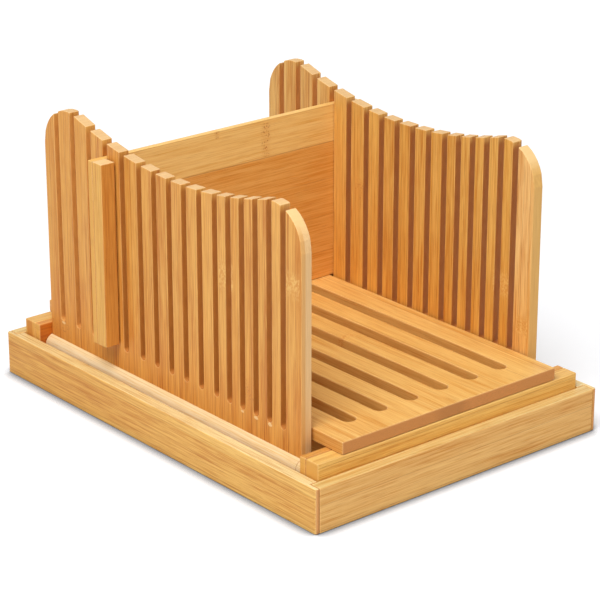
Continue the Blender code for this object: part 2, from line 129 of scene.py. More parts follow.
class Fastenings(bpy.types.PropertyGroup):
    """Sizes and colour of the pins, pegs and screws."""

    peg_chamfer: length_field("Peg chamfer", "Bevel on a peg's end", 0.7 * MM)
    cross_width: length_field("Cross width", "Width of the driver recess's arms", 0.9 * MM)
    cross_depth: length_field("Cross depth", "Depth of the driver recess", 1.3 * MM)
    steel: colour_field("Steel", "Colour of the screws", (0.53, 0.53, 0.54))


class Studio(bpy.types.PropertyGroup):
    """Floor, lamps and camera."""

    floor_size: length_field("Floor size", "Side of the square floor", 14.0)
    floor: colour_field("Floor", "Colour of the floor", (0.63, 0.64, 0.66))
    contact: length_field("Contact shadow", "How far the contact shadow reaches", 13 * MM)
    contact_shadow_tone: colour_field("Contact tone", "Floor under the edges", (0.25, 0.27, 0.30))
    glow_near: share_field("Glow near", "White added to the floor near the piece", 0.44)
    glow_far: share_field("Glow far", "White added to the floor far from the piece", 0.74)
    sky: share_field("Sky", "Strength of the even light all round", 0.43)
    key_power: bpy.props.FloatProperty(
        name="Key", description="Power of the large lamp at the left", default=44.0,
        min=0.0, unit="POWER")
    fill_power: bpy.props.FloatProperty(
        name="Fill", description="Power of the lamp at the front", default=3.0,
        min=0.0, unit="POWER")
    camera_place: bpy.props.FloatVectorProperty(
        name="Camera", description="Where the camera stands", size=3,
        default=(-0.9579, -1.1510, 0.6513), subtype="TRANSLATION")
    camera_tilt: bpy.props.FloatProperty(
        name="Tilt", description="Camera's tilt up from straight down",
        default=math.radians(68.86), subtype="ANGLE")
    camera_turn: bpy.props.FloatProperty(
        name="Turn", description="Camera's turn about the vertical",
        default=math.radians(-39.94), subtype="ANGLE")
    camera_lens: bpy.props.FloatProperty(
        name="Lens", description="Focal length on a 36 mm sensor", default=144.78,
        min=1.0, unit="CAMERA")


# Shader sums written as Python


class Wire:
    """One output of a shader node. Sums of wires and numbers add their Math nodes."""

    def __init__(self, finish, socket):
        self.finish = finish
        self.socket = socket

    def sum(self, operation, *values):
        inputs = dict(enumerate(values))
        return self.finish.node("ShaderNodeMath", {"operation": operation}, inputs)

    def __add__(self, other):
        return self.sum("ADD", self, other)

    def __radd__(self, other):
        return self.sum("ADD", other, self)

    def __sub__(self, other):
        return self.sum("SUBTRACT", self, other)

    def __rsub__(self, other):
        return self.sum("SUBTRACT", other, self)

    def __mul__(self, other):
        return self.sum("MULTIPLY", self, other)

    def __rmul__(self, other):
        return self.sum("MULTIPLY", other, self)

    def __truediv__(self, other):
        return self.sum("DIVIDE", self, other)

    def __rtruediv__(self, other):
        return self.sum("DIVIDE", other, self)

    def __pow__(self, other):
        return self.sum("POWER", self, other)

    def __gt__(self, other):
        return self.sum("GREATER_THAN", self, other)

    def __lt__(self, other):
        return self.sum("LESS_THAN", self, other)

    def __abs__(self):
        return self.sum("ABSOLUTE", self)

    def __floor__(self):
        return self.sum("FLOOR", self)

    def fraction(self):
        return self.sum("FRACT", self)

    def least(self, other):
        return self.sum("MINIMUM", self, other)

    def most(self, other):
        return self.sum("MAXIMUM", self, other)

    def rise(self, low, high):
        """0 below low, 1 above high and smooth between them. Works downwards if low is the larger."""
        settings = {"interpolation_type": "SMOOTHSTEP"}
        inputs = {"Value": self, "From Min": low, "From Max": high, "To Min": 0.0, "To Max": 1.0}
        if low > high:
            inputs.update({"From Min": high, "From Max": low, "To Min": 1.0, "To Max": 0.0})
        return self.finish.node("ShaderNodeMapRange", settings, inputs)

    def output(self, name):
        """Another output of the same node."""
        return Wire(self.finish, self.socket.node.outputs[name])


class Finish:
    """A material, or the world, while its nodes are being made."""

    def __init__(self, owner):
        self.owner = owner
        owner.use_nodes = True
        self.tree = owner.node_tree
        self.tree.nodes.clear()

    def node(self, kind, settings=None, inputs=None, output=0):
        """Adds a node: settings first, then numbers or wires for its sockets."""
        made = self.tree.nodes.new(kind)
        for key, value in (settings or {}).items():
            if key == "stops":
                self.set_stops(made.color_ramp, value)
            else:
                setattr(made, key, value)
        for key, value in (inputs or {}).items():
            if isinstance(value, Wire):
                self.tree.links.new(value.socket, made.inputs[key])
            else:
                made.inputs[key].default_value = value
        return Wire(self, made.outputs[output]) if made.outputs else made

    def set_stops(self, ramp, stops):
        while len(ramp.elements) < len(stops):
            ramp.elements.new(1.0)
        for element, (place, colour) in zip(ramp.elements, stops):
            element.position = place
            element.color = (*colour, 1.0)

    def blend(self, share, first, second):
        """Mixes two colours, given as wires or as red, green and blue."""
        inputs = {0: share, 6: four(first), 7: four(second)}
        return self.node("ShaderNodeMix", {"data_type": "RGBA"}, inputs, output=2)

    def tint(self, share, colour, by):
        """Multiplies a colour by another."""
        settings = {"data_type": "RGBA", "blend_type": "MULTIPLY"}
        return self.node("ShaderNodeMix", settings, {0: share, 6: four(colour), 7: four(by)}, output=2)

    def ramp(self, value, stops):
        """A colour picked along stops of (place, colour)."""
        return self.node("ShaderNodeValToRGB", {"stops": stops}, {0: value})

    def vector(self, x, y, z):
        return self.node("ShaderNodeCombineXYZ", None, {0: x, 1: y, 2: z})

    def split(self, vector):
        """The three numbers of a vector, by the name of their axis."""
        parts = self.node("ShaderNodeSeparateXYZ", None, {0: vector})
        return {axis: parts.output(axis.upper()) for axis in AXES}

    def noise(self, point, detail=2.0, roughness=0.55):
        inputs = {"Vector": point, "Scale": 1.0, "Detail": detail, "Roughness": roughness}
        return self.node("ShaderNodeTexNoise", None, inputs)

    def chance(self, first, second=0.0):
        """Three random numbers for each whole number given."""
        point = self.vector(first, second, 0.0)
        noise = self.node("ShaderNodeTexWhiteNoise", {"noise_dimensions": "2D"}, {"Vector": point})
        parts = self.node("ShaderNodeSeparateColor", None, {0: noise.output("Color")})
        return parts.output("Red"), parts.output("Green"), parts.output("Blue")

    def seen(self):
        """1 where the camera, a reflection or clear material sees it, 0 where it only lights."""
        light = self.node("ShaderNodeLightPath")
        seen = light.output("Is Camera Ray").most(light.output("Is Glossy Ray"))
        return seen.most(light.output("Is Transmission Ray"))

    def surface(self, colour, roughness, height=None, relief=0.0, **fixed):
        """Ends the material in a Principled shader."""
        inputs = {"Base Color": colour, "Roughness": roughness}
        if height is not None:
            bump = {"Strength": 1.0, "Distance": relief, "Height": height}
            inputs["Normal"] = self.node("ShaderNodeBump", None, bump)
        inputs.update({name.replace("_", " "): value for name, value in fixed.items()})
        shader = self.node("ShaderNodeBsdfPrincipled", None, inputs)
        self.node("ShaderNodeOutputMaterial", None, {"Surface": shader})
        return self.owner


def four(colour):
    """A colour with its alpha, or a wire as it is."""
    return colour if isinstance(colour, Wire) else (*colour, 1.0)


# Bamboo


class Grain:
    """Where a point of a piece lies in its bamboo: along the fibres, across the strips and deep."""

    def __init__(self, finish, along, across, shift):
        deep = next(axis for axis in AXES if axis not in (along, across))
        texture = finish.node("ShaderNodeTexCoord")
        place = finish.split(texture.output("Object"))
        facing = finish.split(texture.output("Normal"))
        self.finish = finish
        self.shift = shift
        self.place = place
        self.facing = facing
        self.along = place[along]
        self.across = place[across]
        self.deep = place[deep]
        self.faces_end = abs(facing[along]).rise(0.62, 0.84)
        self.faces_flank = abs(facing[across]).rise(0.62, 0.84)

    def streaks(self, width, length, offset=0.0, detail=2.0):
        """Noise drawn out along the fibres, about 0.5 on average."""
        point = self.finish.vector(
            self.across / width + (self.shift + offset),
            self.deep / width,
            self.along / length + self.shift * 0.37)
        return self.finish.noise(point, detail)

    def edges(self):
        """1 on eased edges and corners, which face between the axes."""
        widest = abs(self.facing["x"]).most(abs(self.facing["y"])).most(abs(self.facing["z"]))
        return widest.rise(0.97, 0.84)


def bamboo_body(grain, strip, light, dark, contrast=1.0, figure=0.3):
    """Colour and height of bamboo strips side by side, with fibres and glue lines."""
    scene = bpy.context.scene
    tones = scene.guide_tones
    sizes = scene.guide_grain
    finish = grain.finish
    run = grain.across / strip + grain.shift * 3.7
    number = math.floor(run)
    within = run.fraction()
    first, second, third = finish.chance(number, grain.shift)
    fine = grain.streaks(sizes.fibre_width, sizes.fibre_length, 0.0, 3.0)
    middle = grain.streaks(sizes.fibre_width * 3.1, sizes.fibre_length * 3.2, 11.3)
    broad = grain.streaks(sizes.fibre_width * 11.0, sizes.fibre_length * 2.6, 23.9)
    tone = (first - 0.5) * (0.42 * contrast) + (fine - 0.5) * FINE_STREAKS
    tone = tone + (middle - 0.5) * MIDDLE_STREAKS + (broad - 0.5) * BROAD_STREAKS + 0.52
    colour = finish.ramp(tone, [(0.0, dark), (0.5, between(dark, light, 0.62)), (1.0, light)])
    warm = finish.blend((second - 0.35) * (0.55 * contrast), colour, tones.honey)
    dashes = grain.streaks(sizes.fibre_width * 0.9, sizes.fibre_length * 0.55, 41.0, 1.0).rise(0.6, 0.74)
    colour = finish.tint(dashes * 0.5, warm, (0.72, 0.55, 0.42))
    red = grain.streaks(sizes.fibre_width * 1.5, sizes.fibre_length, 61.0, 1.0).rise(0.58, 0.72)
    light_fibre = grain.streaks(sizes.fibre_width * 1.4, sizes.fibre_length * 0.8, 77.0, 1.0)
    colour = finish.blend(red * figure, colour, between(tones.amber, tones.honey, 0.25))
    colour = finish.blend(light_fibre.rise(0.6, 0.72) * figure, colour, tones.straw)
    half = sizes.line_width / strip / 2
    line = within.least(1 - within).rise(half * 2.4, half * 0.6) * (third * 0.6 + 0.25)
    colour = finish.blend(line * 0.6, colour, tones.glue_line)
    height = fine * 0.5 + middle * 0.5 - line * 0.7 - dashes * 0.5
    return colour, height, fine


def between(first, second, share):
    """A colour part of the way from one to another."""
    return tuple(a + (b - a) * share for a, b in zip(first, second))


def end_grain(grain, colour, height, block, tone, marks):
    """The cut ends of the strips: small blocks full of fibre ends."""
    scene = bpy.context.scene
    finish = grain.finish
    first, _second, _third = finish.chance(math.floor(grain.across / block), grain.shift + 5.0)
    point = finish.vector(grain.across / (0.75 * MM), grain.deep / (0.75 * MM), 0.0)
    dots = finish.node("ShaderNodeTexVoronoi", None, {"Vector": point, "Scale": 1.0})
    dot = dots.rise(0.42, 0.12)
    within = (grain.across / block).fraction()
    line = within.least(1 - within).rise(0.06, 0.02)
    cut = finish.blend(first * (0.75 * marks), tone, between(tone, scene.guide_tones.knot, 0.4))
    cut = finish.tint(dot * (0.5 * marks), cut, (0.66, 0.52, 0.42))
    cut = finish.blend(line * (0.55 * marks), cut, scene.guide_tones.glue_line)
    colour = finish.blend(grain.faces_end, colour, cut)
    return colour, height - dot * grain.faces_end * 0.5


def knot(grain, colour, height, across, along, width, tall, dark):
    """A knot across one strip: a short band of dark dots or of golden flecks."""
    tones = bpy.context.scene.guide_tones
    finish = grain.finish
    inside = abs(grain.across - across).rise(width / 2 + 0.25 * MM, width / 2 - 0.25 * MM)
    band = abs(grain.along - along).rise(tall / 2, tall / 10)
    wavy = grain.streaks(2.4 * MM, 6.0 * MM, across * 700, 2.0)
    strength = inside * band
    if dark:
        point = finish.vector(grain.across / (1.7 * MM), grain.deep / (1.7 * MM),
                              grain.along / (1.5 * MM) + along * 900)
        dots = finish.node("ShaderNodeTexVoronoi", None, {"Vector": point, "Scale": 1.0})
        fleck = dots.rise(0.6, 0.2) * wavy.rise(0.4, 0.55)
        cover = strength * (fleck * 0.7 + 0.2)
        around = between(tones.redwood, tones.honey, 0.4)
        middle = between(tones.knot, tones.redwood, 0.4)
    else:
        flecks = grain.streaks(1.1 * MM, 1.7 * MM, along * 900, 2.0)
        fleck = (flecks * 0.75 + wavy * 0.25).rise(0.43, 0.6)
        cover = strength * 0.8
        around = between(tones.honey, tones.redwood, 0.45)
        middle = between(tones.pale, tones.straw, 0.7)
    colour = finish.blend(cover, colour, finish.blend(fleck, around, middle))
    return colour, height + strength * fleck * 0.6


def bamboo(name, along, across, strip, shift, light=None, dark=None, contrast=1.0, figure=0.3,
           cast=None, bands=(), foot=None, block=None, end_tone=None, marks=1.0, flank=None, sawn_and_shade=None,
           knots=(), chips=(), worn=1.0, seam=None, dashes=None, plies=(), top_highlight=False):
    """A finished bamboo material for pieces whose fibres run along one axis."""
    scene = bpy.context.scene
    tones = scene.guide_tones
    finish = Finish(bpy.data.materials.new(name))
    grain = Grain(finish, along, across, shift)
    light = light or tones.pale
    dark = dark or tones.amber
    colour, height, fine = bamboo_body(grain, strip, light, dark, contrast, figure)
    if cast:
        colour = finish.tint(1.0, colour, cast)
    for low, high, tint in bands:
        band = grain.across.rise(low - MM, low + MM) * grain.across.rise(high + MM, high - MM)
        colour = finish.blend(band, colour, finish.tint(1.0, colour, tint))
    if foot:
        high, low, tint = foot
        lower = grain.along.rise(high, low)
        colour = finish.blend(lower, colour, finish.tint(1.0, colour, tint))
    if seam:
        colour, height = seamed(grain, colour, height, *seam)
    for across_place, along_place, width, tall, is_dark in knots:
        colour, height = knot(grain, colour, height, across_place, along_place, width, tall, is_dark)
    if flank:
        shaded = finish.tint(1.0, colour, flank)
        colour = finish.blend(grain.faces_flank, colour, shaded)
    colour, height = end_grain(grain, colour, height, block or strip / 2,
                               end_tone or tones.end_grain, marks)
    for low, high, tint in plies:
        colour = plied(grain, colour, low, high, tint)
    if dashes:
        colour = dashed(grain, colour, *dashes)
    # Painted highlight: faces turned upwards are blended to cream, as if lit from above.
    if top_highlight:
        painted_top_highlight = grain.facing["z"].rise(0.4, 0.95) * (fine * 0.9)
        colour = finish.blend(painted_top_highlight, colour, tones.cream)
    if worn:
        wear = grain.edges() * (fine * 0.8 + 0.6) * worn
        colour = finish.blend(wear * scene.guide_grain.edge_wear, colour, tones.cream)
    # Painted shade in the saw slots, with painted light near the teeth's tops.
    if sawn_and_shade:
        colour = slot_shade_and_plies(grain, colour, fine, *sawn_and_shade)
    if chips:
        colour = chipped(grain, colour, chips)
    roughness = fine * 0.22 + grain.faces_end * 0.12 + 0.37
    return finish.surface(colour, roughness, height, scene.guide_grain.relief,
                          Specular_IOR_Level=0.32, Coat_Weight=0.04, Coat_Roughness=0.4)


def plied(grain, colour, low, high, tint):
    """A layer seen on the cut ends, between two depths."""
    finish = grain.finish
    layer = grain.deep.rise(low - 0.15 * MM, low + 0.15 * MM)
    layer = layer * grain.deep.rise(high + 0.15 * MM, high - 0.15 * MM)
    return finish.blend(layer * grain.faces_end, colour, finish.tint(1.0, colour, tint))


def dashed(grain, colour, low, high):
    """Short reddish dashes on the cut ends, over a stretch across the strips."""
    finish = grain.finish
    where = grain.across.rise(low - 3 * MM, low + 3 * MM)
    where = where * grain.across.rise(high + 3 * MM, high - 3 * MM)
    point = finish.vector(grain.across / (2.8 * MM), grain.deep / (0.9 * MM), 0.0)
    marks = finish.noise(point, 1.0).rise(0.5, 0.6)
    tone = bpy.context.scene.guide_tones.redwood
    return finish.blend(marks * where * grain.faces_end * 0.7, colour, tone)


def seamed(grain, colour, height, place, tint):
    """Two boards glued edge to edge, with a dark joint between them; the lower one is tinted warmer and
    darker, partly its own tone and partly painted shade.
    """
    finish = grain.finish
    line = abs(grain.across - place).rise(0.5 * MM, 0.16 * MM)
    below = grain.across.rise(place + 0.1 * MM, place - 0.1 * MM)
    colour = finish.blend(below, colour, finish.tint(1.0, colour, tint))
    colour = finish.blend(line * 0.4, colour, bpy.context.scene.guide_tones.glue_line)
    return colour, height - line * 0.5


def arc_height(along, radius):
    """Height of a circle above its centre, at a distance along from it."""
    return (radius * radius - along * along).most(0.0) ** 0.5


def depth_below_top(grain, rear, front):
    """How far a point of a comb wall lies below the wall's top edge."""
    y = grain.place["y"]
    reach = DIP_RADIUS + CORNER_RADIUS
    top = DIP_CENTRE - arc_height(y - DIP_PLACE, DIP_RADIUS)
    for centre in (rear - CORNER_RADIUS, front + CORNER_RADIUS):
        away = centre - DIP_PLACE
        height = DIP_CENTRE - math.sqrt(reach ** 2 - away ** 2)
        corner = arc_height(y - centre, CORNER_RADIUS) + height
        turn = DIP_PLACE + away * DIP_RADIUS / reach
        beyond = y > turn if away > 0 else y < turn
        top = top + (corner - top) * beyond
    return top - grain.place["z"]


def slot_shade_and_plies(grain, colour, fine, rear, front, shade, lighter, split, left_tone, right_tone):
    """Painted shade in the saw slots, its brown partly the sawn wood's, fading out near the teeth's tops
    and lighter on the rear slots as painted light; and the plies on the wall's outer edges.
    """
    tones = bpy.context.scene.guide_tones
    finish = grain.finish
    y = grain.place["y"]
    inside = y.rise(front + 3 * MM, front + 4 * MM) * y.rise(rear - 3 * MM, rear - 4 * MM)
    depth = depth_below_top(grain, rear, front)
    shaded_slot_side = abs(grain.facing["x"]).rise(0.6, 0.35) * inside
    # Painted shade: the slot sides turn brown, mottled darker in streaks, tinted by the shade, lighter
    # towards the rear as painted light, and fading out within 6 mm of the teeth's tops, where the light
    # reaches.
    slot_mottle = grain.streaks(2.5 * MM, 9 * MM, 71.0)
    brown = finish.blend(slot_mottle.rise(0.35, 0.7), tones.sawn_and_shade, between(tones.sawn_and_shade, tones.knot, 0.4))
    brown = finish.tint(1.0, brown, shade)
    brown = finish.blend(y.rise(*lighter), brown, finish.tint(1.0, brown, (1.3, 1.55, 2.1)))
    colour = finish.blend(shaded_slot_side * depth.rise(0.5 * MM, 6.0 * MM), colour, brown)
    ply = finish.blend(grain.place["x"].rise(split - 0.2 * MM, split + 0.2 * MM), left_tone, right_tone)
    ply = finish.tint(1.0, ply, finish.ramp(fine, [(0.3, (0.86, 0.8, 0.74)), (0.7, (1.0, 1.0, 1.0))]))
    on_curve = y.rise(front + 0.5 * MM, front + 7 * MM)
    ply = finish.blend(on_curve, ply, between(tones.cream, tones.straw, 0.3))
    at_front = y.rise(front + 24 * MM, front + 16 * MM)
    at_rear = y.rise(rear - 24 * MM, rear - 16 * MM)
    curved = depth.rise(1.0 * MM, 0.5 * MM) * at_front.most(at_rear)
    outside = abs(grain.facing["x"]).rise(0.6, 0.35) * (1 - inside).most(curved)
    return finish.blend(outside * 0.85, colour, ply)


def chipped(grain, colour, chips):
    """Small torn places with bright fibres, at the feet of some saw slots."""
    finish = grain.finish
    ragged = finish.noise(finish.vector(grain.across / (0.9 * MM), grain.along / (1.3 * MM), 0.0), 2.0)
    for across, along, width, tall in chips:
        reach = abs(grain.across - across) / (width / 2)
        rise = abs(grain.along - along) / (tall / 2)
        inside = (reach * reach + rise * rise + (ragged - 0.5) * 1.4).rise(1.0, 0.6)
        colour = finish.blend(inside * 0.85, colour, bpy.context.scene.guide_tones.cream)
    return colour


def brushed_steel(name):
    """Plain plated steel with fine turning marks."""
    finish = Finish(bpy.data.materials.new(name))
    texture = finish.node("ShaderNodeTexCoord")
    place = finish.split(texture.output("Object"))
    point = finish.vector(place["x"] / (0.15 * MM), place["y"] / (3 * MM), place["z"] / (0.15 * MM))
    marks = finish.noise(point, 3.0)
    steel = tuple(bpy.context.scene.guide_fastenings.steel)
    colour = finish.ramp(marks, [(0.3, between(steel, (0, 0, 0), 0.3)), (0.7, steel)])
    return finish.surface(colour, marks * 0.25 + 0.22, marks, 0.02 * MM, Metallic=1.0)


def dress(material, *names):
    """Gives CAD nodes a finish."""
    for name in names:
        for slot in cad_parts[name].material_slots:
            slot.material = material


# Shapes made here


def new_piece(name, bm, material, body, sharp=math.radians(32)):
    """Turns a bmesh into an object that rides on a body, smooth but for its sharp edges."""
    bmesh.ops.recalc_face_normals(bm, faces=bm.faces)
    for face in bm.faces:
        face.smooth = True
    for edge in bm.edges:
        if len(edge.link_faces) == 2:
            edge.smooth = edge.calc_face_angle() < sharp
    mesh = bpy.data.meshes.new(name)
    bm.to_mesh(mesh)
    bm.free()
    mesh.materials.append(material)
    item = bpy.data.objects.new(name, mesh)
    bpy.context.scene.collection.objects.link(item)
    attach(item, body)
    return item


def sweep(bm, outline, first, second, ease=0.3 * MM):
    """A solid of one outline of (x, z) points between two places along y, its ends eased."""
    step = ease if second > first else -ease
    centre_x = sum(point[0] for point in outline) / len(outline)
    centre_z = sum(point[1] for point in outline) / len(outline)
    rings = []
    for place, inward in ((first, ease), (first + step, 0.0), (second - step, 0.0), (second, ease)):
        ring = []
        for x, z in outline:
            out = Vector((x - centre_x, z - centre_z))
            out = out * (1 - inward / max(out.length, inward))
            ring.append(bm.verts.new((centre_x + out.x, place, centre_z + out.y)))
        rings.append(ring)
    for lower, upper in zip(rings, rings[1:]):
        for index in range(len(outline)):
            after = (index + 1) % len(outline)
            bm.faces.new((lower[index], lower[after], upper[after], upper[index]))
    bm.faces.new(rings[0])
    bm.faces.new(rings[-1])


def spin(bm, profile, centre, axis, steps=48):
    """A round piece from (radius, distance) points along an axis from its centre."""
    axis = Vector(axis).normalized()
    side = axis.orthogonal().normalized()
    other = axis.cross(side)
    rings = []
    for radius, distance in profile:
        ring = []
        for index in range(steps):
            angle = math.tau * index / steps
            offset = side * math.cos(angle) * radius + other * math.sin(angle) * radius
            ring.append(bm.verts.new(Vector(centre) + axis * distance + offset))
        rings.append(ring)
    for lower, upper in zip(rings, rings[1:]):
        for index in range(steps):
            after = (index + 1) % steps
            bm.faces.new((lower[index], lower[after], upper[after], upper[index]))
    bm.faces.new(rings[0])
    bm.faces.new(rings[-1])


def circle_points(centre, radius, start, end, steps):
    """Points on an arc about a centre, angles in radians."""
    points = []
    for index in range(steps + 1):
        angle = start + (end - start) * index / steps
        points.append((centre[0] + radius * math.cos(angle), centre[1] + radius * math.sin(angle)))
    return points


# Operators


class GUIDE_OT_comb_walls(bpy.types.Operator):
    """Finish the two comb walls"""

    bl_idname = "guide.comb_walls"
    bl_label = "Comb walls"

    def execute(self, context):
        sizes = context.scene.guide_grain
        tones = context.scene.guide_tones
        low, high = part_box("left_comb_wall")
        ply = low.x + 3 * MM
        left_knots = [
            (-56.0 * MM, 129 * MM, 14.0 * MM, 28 * MM, False),
            (-119.5 * MM, 142 * MM, 14.0 * MM, 22 * MM, False),
            (-80.0 * MM, 59 * MM, 15.0 * MM, 25 * MM, True),
            (126.0 * MM, 40 * MM, 22.0 * MM, 20 * MM, True),
        ]
        chips = [
            (123.5 * MM, 44.0 * MM, 4.6 * MM, 1.9 * MM),
            (-71.2 * MM, 43.9 * MM, 3.4 * MM, 1.6 * MM),
            (-84.6 * MM, 44.0 * MM, 4.6 * MM, 2.2 * MM),
            (-98.2 * MM, 44.1 * MM, 4.4 * MM, 2.6 * MM),
        ]
        right_knots = [
            (-101.0 * MM, 91 * MM, 15.0 * MM, 24 * MM, False),
            (-122.0 * MM, 67 * MM, 10.0 * MM, 20 * MM, False),
            (40.0 * MM, 120 * MM, 9.0 * MM, 20 * MM, True),
        ]
        warm_foot = (110 * MM, 42 * MM, (0.99, 0.88, 0.74))
        # The right wall's lower part is tinted warmer and darker, partly its own tone and partly painted
        # shade.
        right_foot_tone_and_shade = (135 * MM, 50 * MM, (0.95, 0.84, 0.64))
        light = between(tones.pale, tones.cream, 0.3)
        dark = between(tones.amber, tones.knot, 0.3)
        tops = between(tones.cream, tones.end_grain, 0.35)
        outer_edge = between(tones.pale, tones.straw, 0.4)
        lit_tooth = (low.y - MM, low.y + 15 * MM, (1.12, 1.26, 1.95))
        rear_teeth = (75 * MM, high.y + MM, (1.03, 1.1, 1.3))
        # Each wall's slot tuple sets the painted shade in its saw slots: a shade tint, and where the
        # rear slots are painted lighter.
        left = bamboo("left_wall_bamboo", "z", "y", sizes.wall_strip, 3.0, light=light, dark=dark,
                      cast=(1.01, 0.91, 0.68), foot=warm_foot, figure=0.55, end_tone=tops,
                      marks=0.4, knots=left_knots, chips=chips,
                      sawn_and_shade=(high.y, low.y, (1.0, 1.0, 1.0), (74 * MM, 84 * MM), ply,
                            (0.83, 0.46, 0.15), (0.9, 0.6, 0.29)))
        right = bamboo("right_wall_bamboo", "z", "y", sizes.wall_strip, 8.0, light=light,
                       dark=dark, cast=(1.02, 1.0, 0.79), bands=(lit_tooth, rear_teeth),
                       foot=right_foot_tone_and_shade, figure=0.55, end_tone=tops, marks=0.4,
                       knots=right_knots,
                       sawn_and_shade=(high.y, low.y, (0.92, 0.84, 0.75), (60 * MM, 80 * MM), 0.0,
                             outer_edge, outer_edge))
        dress(left, "left_comb_wall")
        dress(right, "right_comb_wall")
        return {"FINISHED"}


class GUIDE_OT_foot_barrels(bpy.types.Operator):
    """Turn the smooth round feet that the walls stand in"""

    bl_idname = "guide.foot_barrels"
    bl_label = "Foot barrels"

    def execute(self, context):
        tones = context.scene.guide_tones
        # The barrels' cream tone is partly painted light, and their tops get a painted highlight.
        material = bamboo("barrel_bamboo", "y", "x", 5.2 * MM, 14.0, light=tones.cream,
                          dark=between(tones.honey, tones.straw, 0.35), contrast=0.6, worn=0.0,
                          cast=(0.94, 1.13, 1.56), top_highlight=True)
        for side_name, side in SIDES.items():
            self.turn(side_name, side, material)
        return {"FINISHED"}

    def turn(self, side_name, side, material):
        name = side_name + "_foot_barrel"
        low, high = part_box(name)
        wall_low, wall_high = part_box(side_name + "_comb_wall")
        outer = wall_high.x if side > 0 else wall_low.x
        centre = ((low.x + high.x) / 2, (low.z + high.z) / 2)
        radius = (high.x - low.x) / 2
        lip_x = outer + side * 0.3 * MM
        seat = wall_low.z - 0.3 * MM
        lip = math.acos(abs(lip_x - centre[0]) / radius)
        inner = math.asin((seat - centre[1]) / radius)
        round_part = circle_points((0, 0), radius, lip, inner - math.pi, 70)
        notched = [(abs(lip_x - centre[0]), seat - centre[1])] + round_part
        notched = [(centre[0] + side * x, centre[1] + z) for x, z in notched]
        full = circle_points(centre, radius, 0, math.tau, 80)[:-1]
        bm = bmesh.new()
        sweep(bm, full, low.y, wall_low.y - 0.3 * MM)
        sweep(bm, notched, wall_low.y - 0.3 * MM, high.y, 0.02 * MM)
        item = new_piece(side_name + "_barrel", bm, material, side_name + "_wall")
        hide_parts(name)


class GUIDE_OT_board(bpy.types.Operator):
    """Finish the slotted board"""

    bl_idname = "guide.board"
    bl_label = "Slotted board"

    def execute(self, context):
        sizes = context.scene.guide_grain
        tones = context.scene.guide_tones
        knots = [
            (-72.0 * MM, -96 * MM, 19 * MM, 9 * MM, True),
            (52.0 * MM, 84 * MM, 19 * MM, 9 * MM, True),
            (20.0 * MM, -28 * MM, 18 * MM, 8 * MM, False),
        ]
        material = bamboo("board_bamboo", "y", "x", sizes.board_strip, 21.0, contrast=0.8,
                          light=tones.straw, dark=between(tones.amber, tones.honey, 0.6),
                          block=300 * MM, end_tone=(0.62, 0.25, 0.06), marks=0.6,
                          flank=(0.9, 0.8, 0.7), knots=knots,
                          dashes=(10 * MM, 58 * MM))
        dress(material, "slotted_board")
        return {"FINISHED"}


class GUIDE_OT_base_frame(bpy.types.Operator):
    """Finish the bars, strips and rails of the base frame"""

    bl_idname = "guide.base_frame"
    bl_label = "Base frame"

    def execute(self, context):
        sizes = context.scene.guide_grain
        tones = context.scene.guide_tones
        strip = sizes.frame_strip
        pale_end = between(tones.pale, tones.honey, 0.5)
        for index, end in enumerate(ENDS):
            _low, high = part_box(end + "_bar")
            red_ply = (high.y - 8.0 * MM, high.y - 2.0 * MM, (0.86, 0.68, 0.55))
            bar = bamboo(end + "_bar_bamboo", "x", "z", strip * 2, 31.0 + index * 4, contrast=0.9,
                         light=tones.straw, dark=between(tones.amber, tones.honey, 0.3),
                         block=60 * MM, end_tone=pale_end, marks=0.4, cast=(1.1, 1.1, 0.9),
                         flank=(0.9, 0.93, 1.05),
                         plies=(red_ply,) if end == "rear" else ())
            dress(bar, end + "_bar")
            inner = bamboo(end + "_strip_bamboo", "x", "z", strip, 42.0 + index * 3, contrast=0.8,
                           light=between(tones.pale, tones.amber, 0.3), end_tone=pale_end,
                           marks=0.4, cast=(0.92, 0.56, 0.24) if end == "rear" else None,
                           flank=(1.1, 1.6, 2.6) if end == "rear" else None)
            dress(inner, end + "_pivot_strip")
        rails = bamboo("rail_bamboo", "y", "x", strip * 0.6, 52.0, contrast=0.8)
        dress(rails, "left_rail", "right_rail")
        return {"FINISHED"}


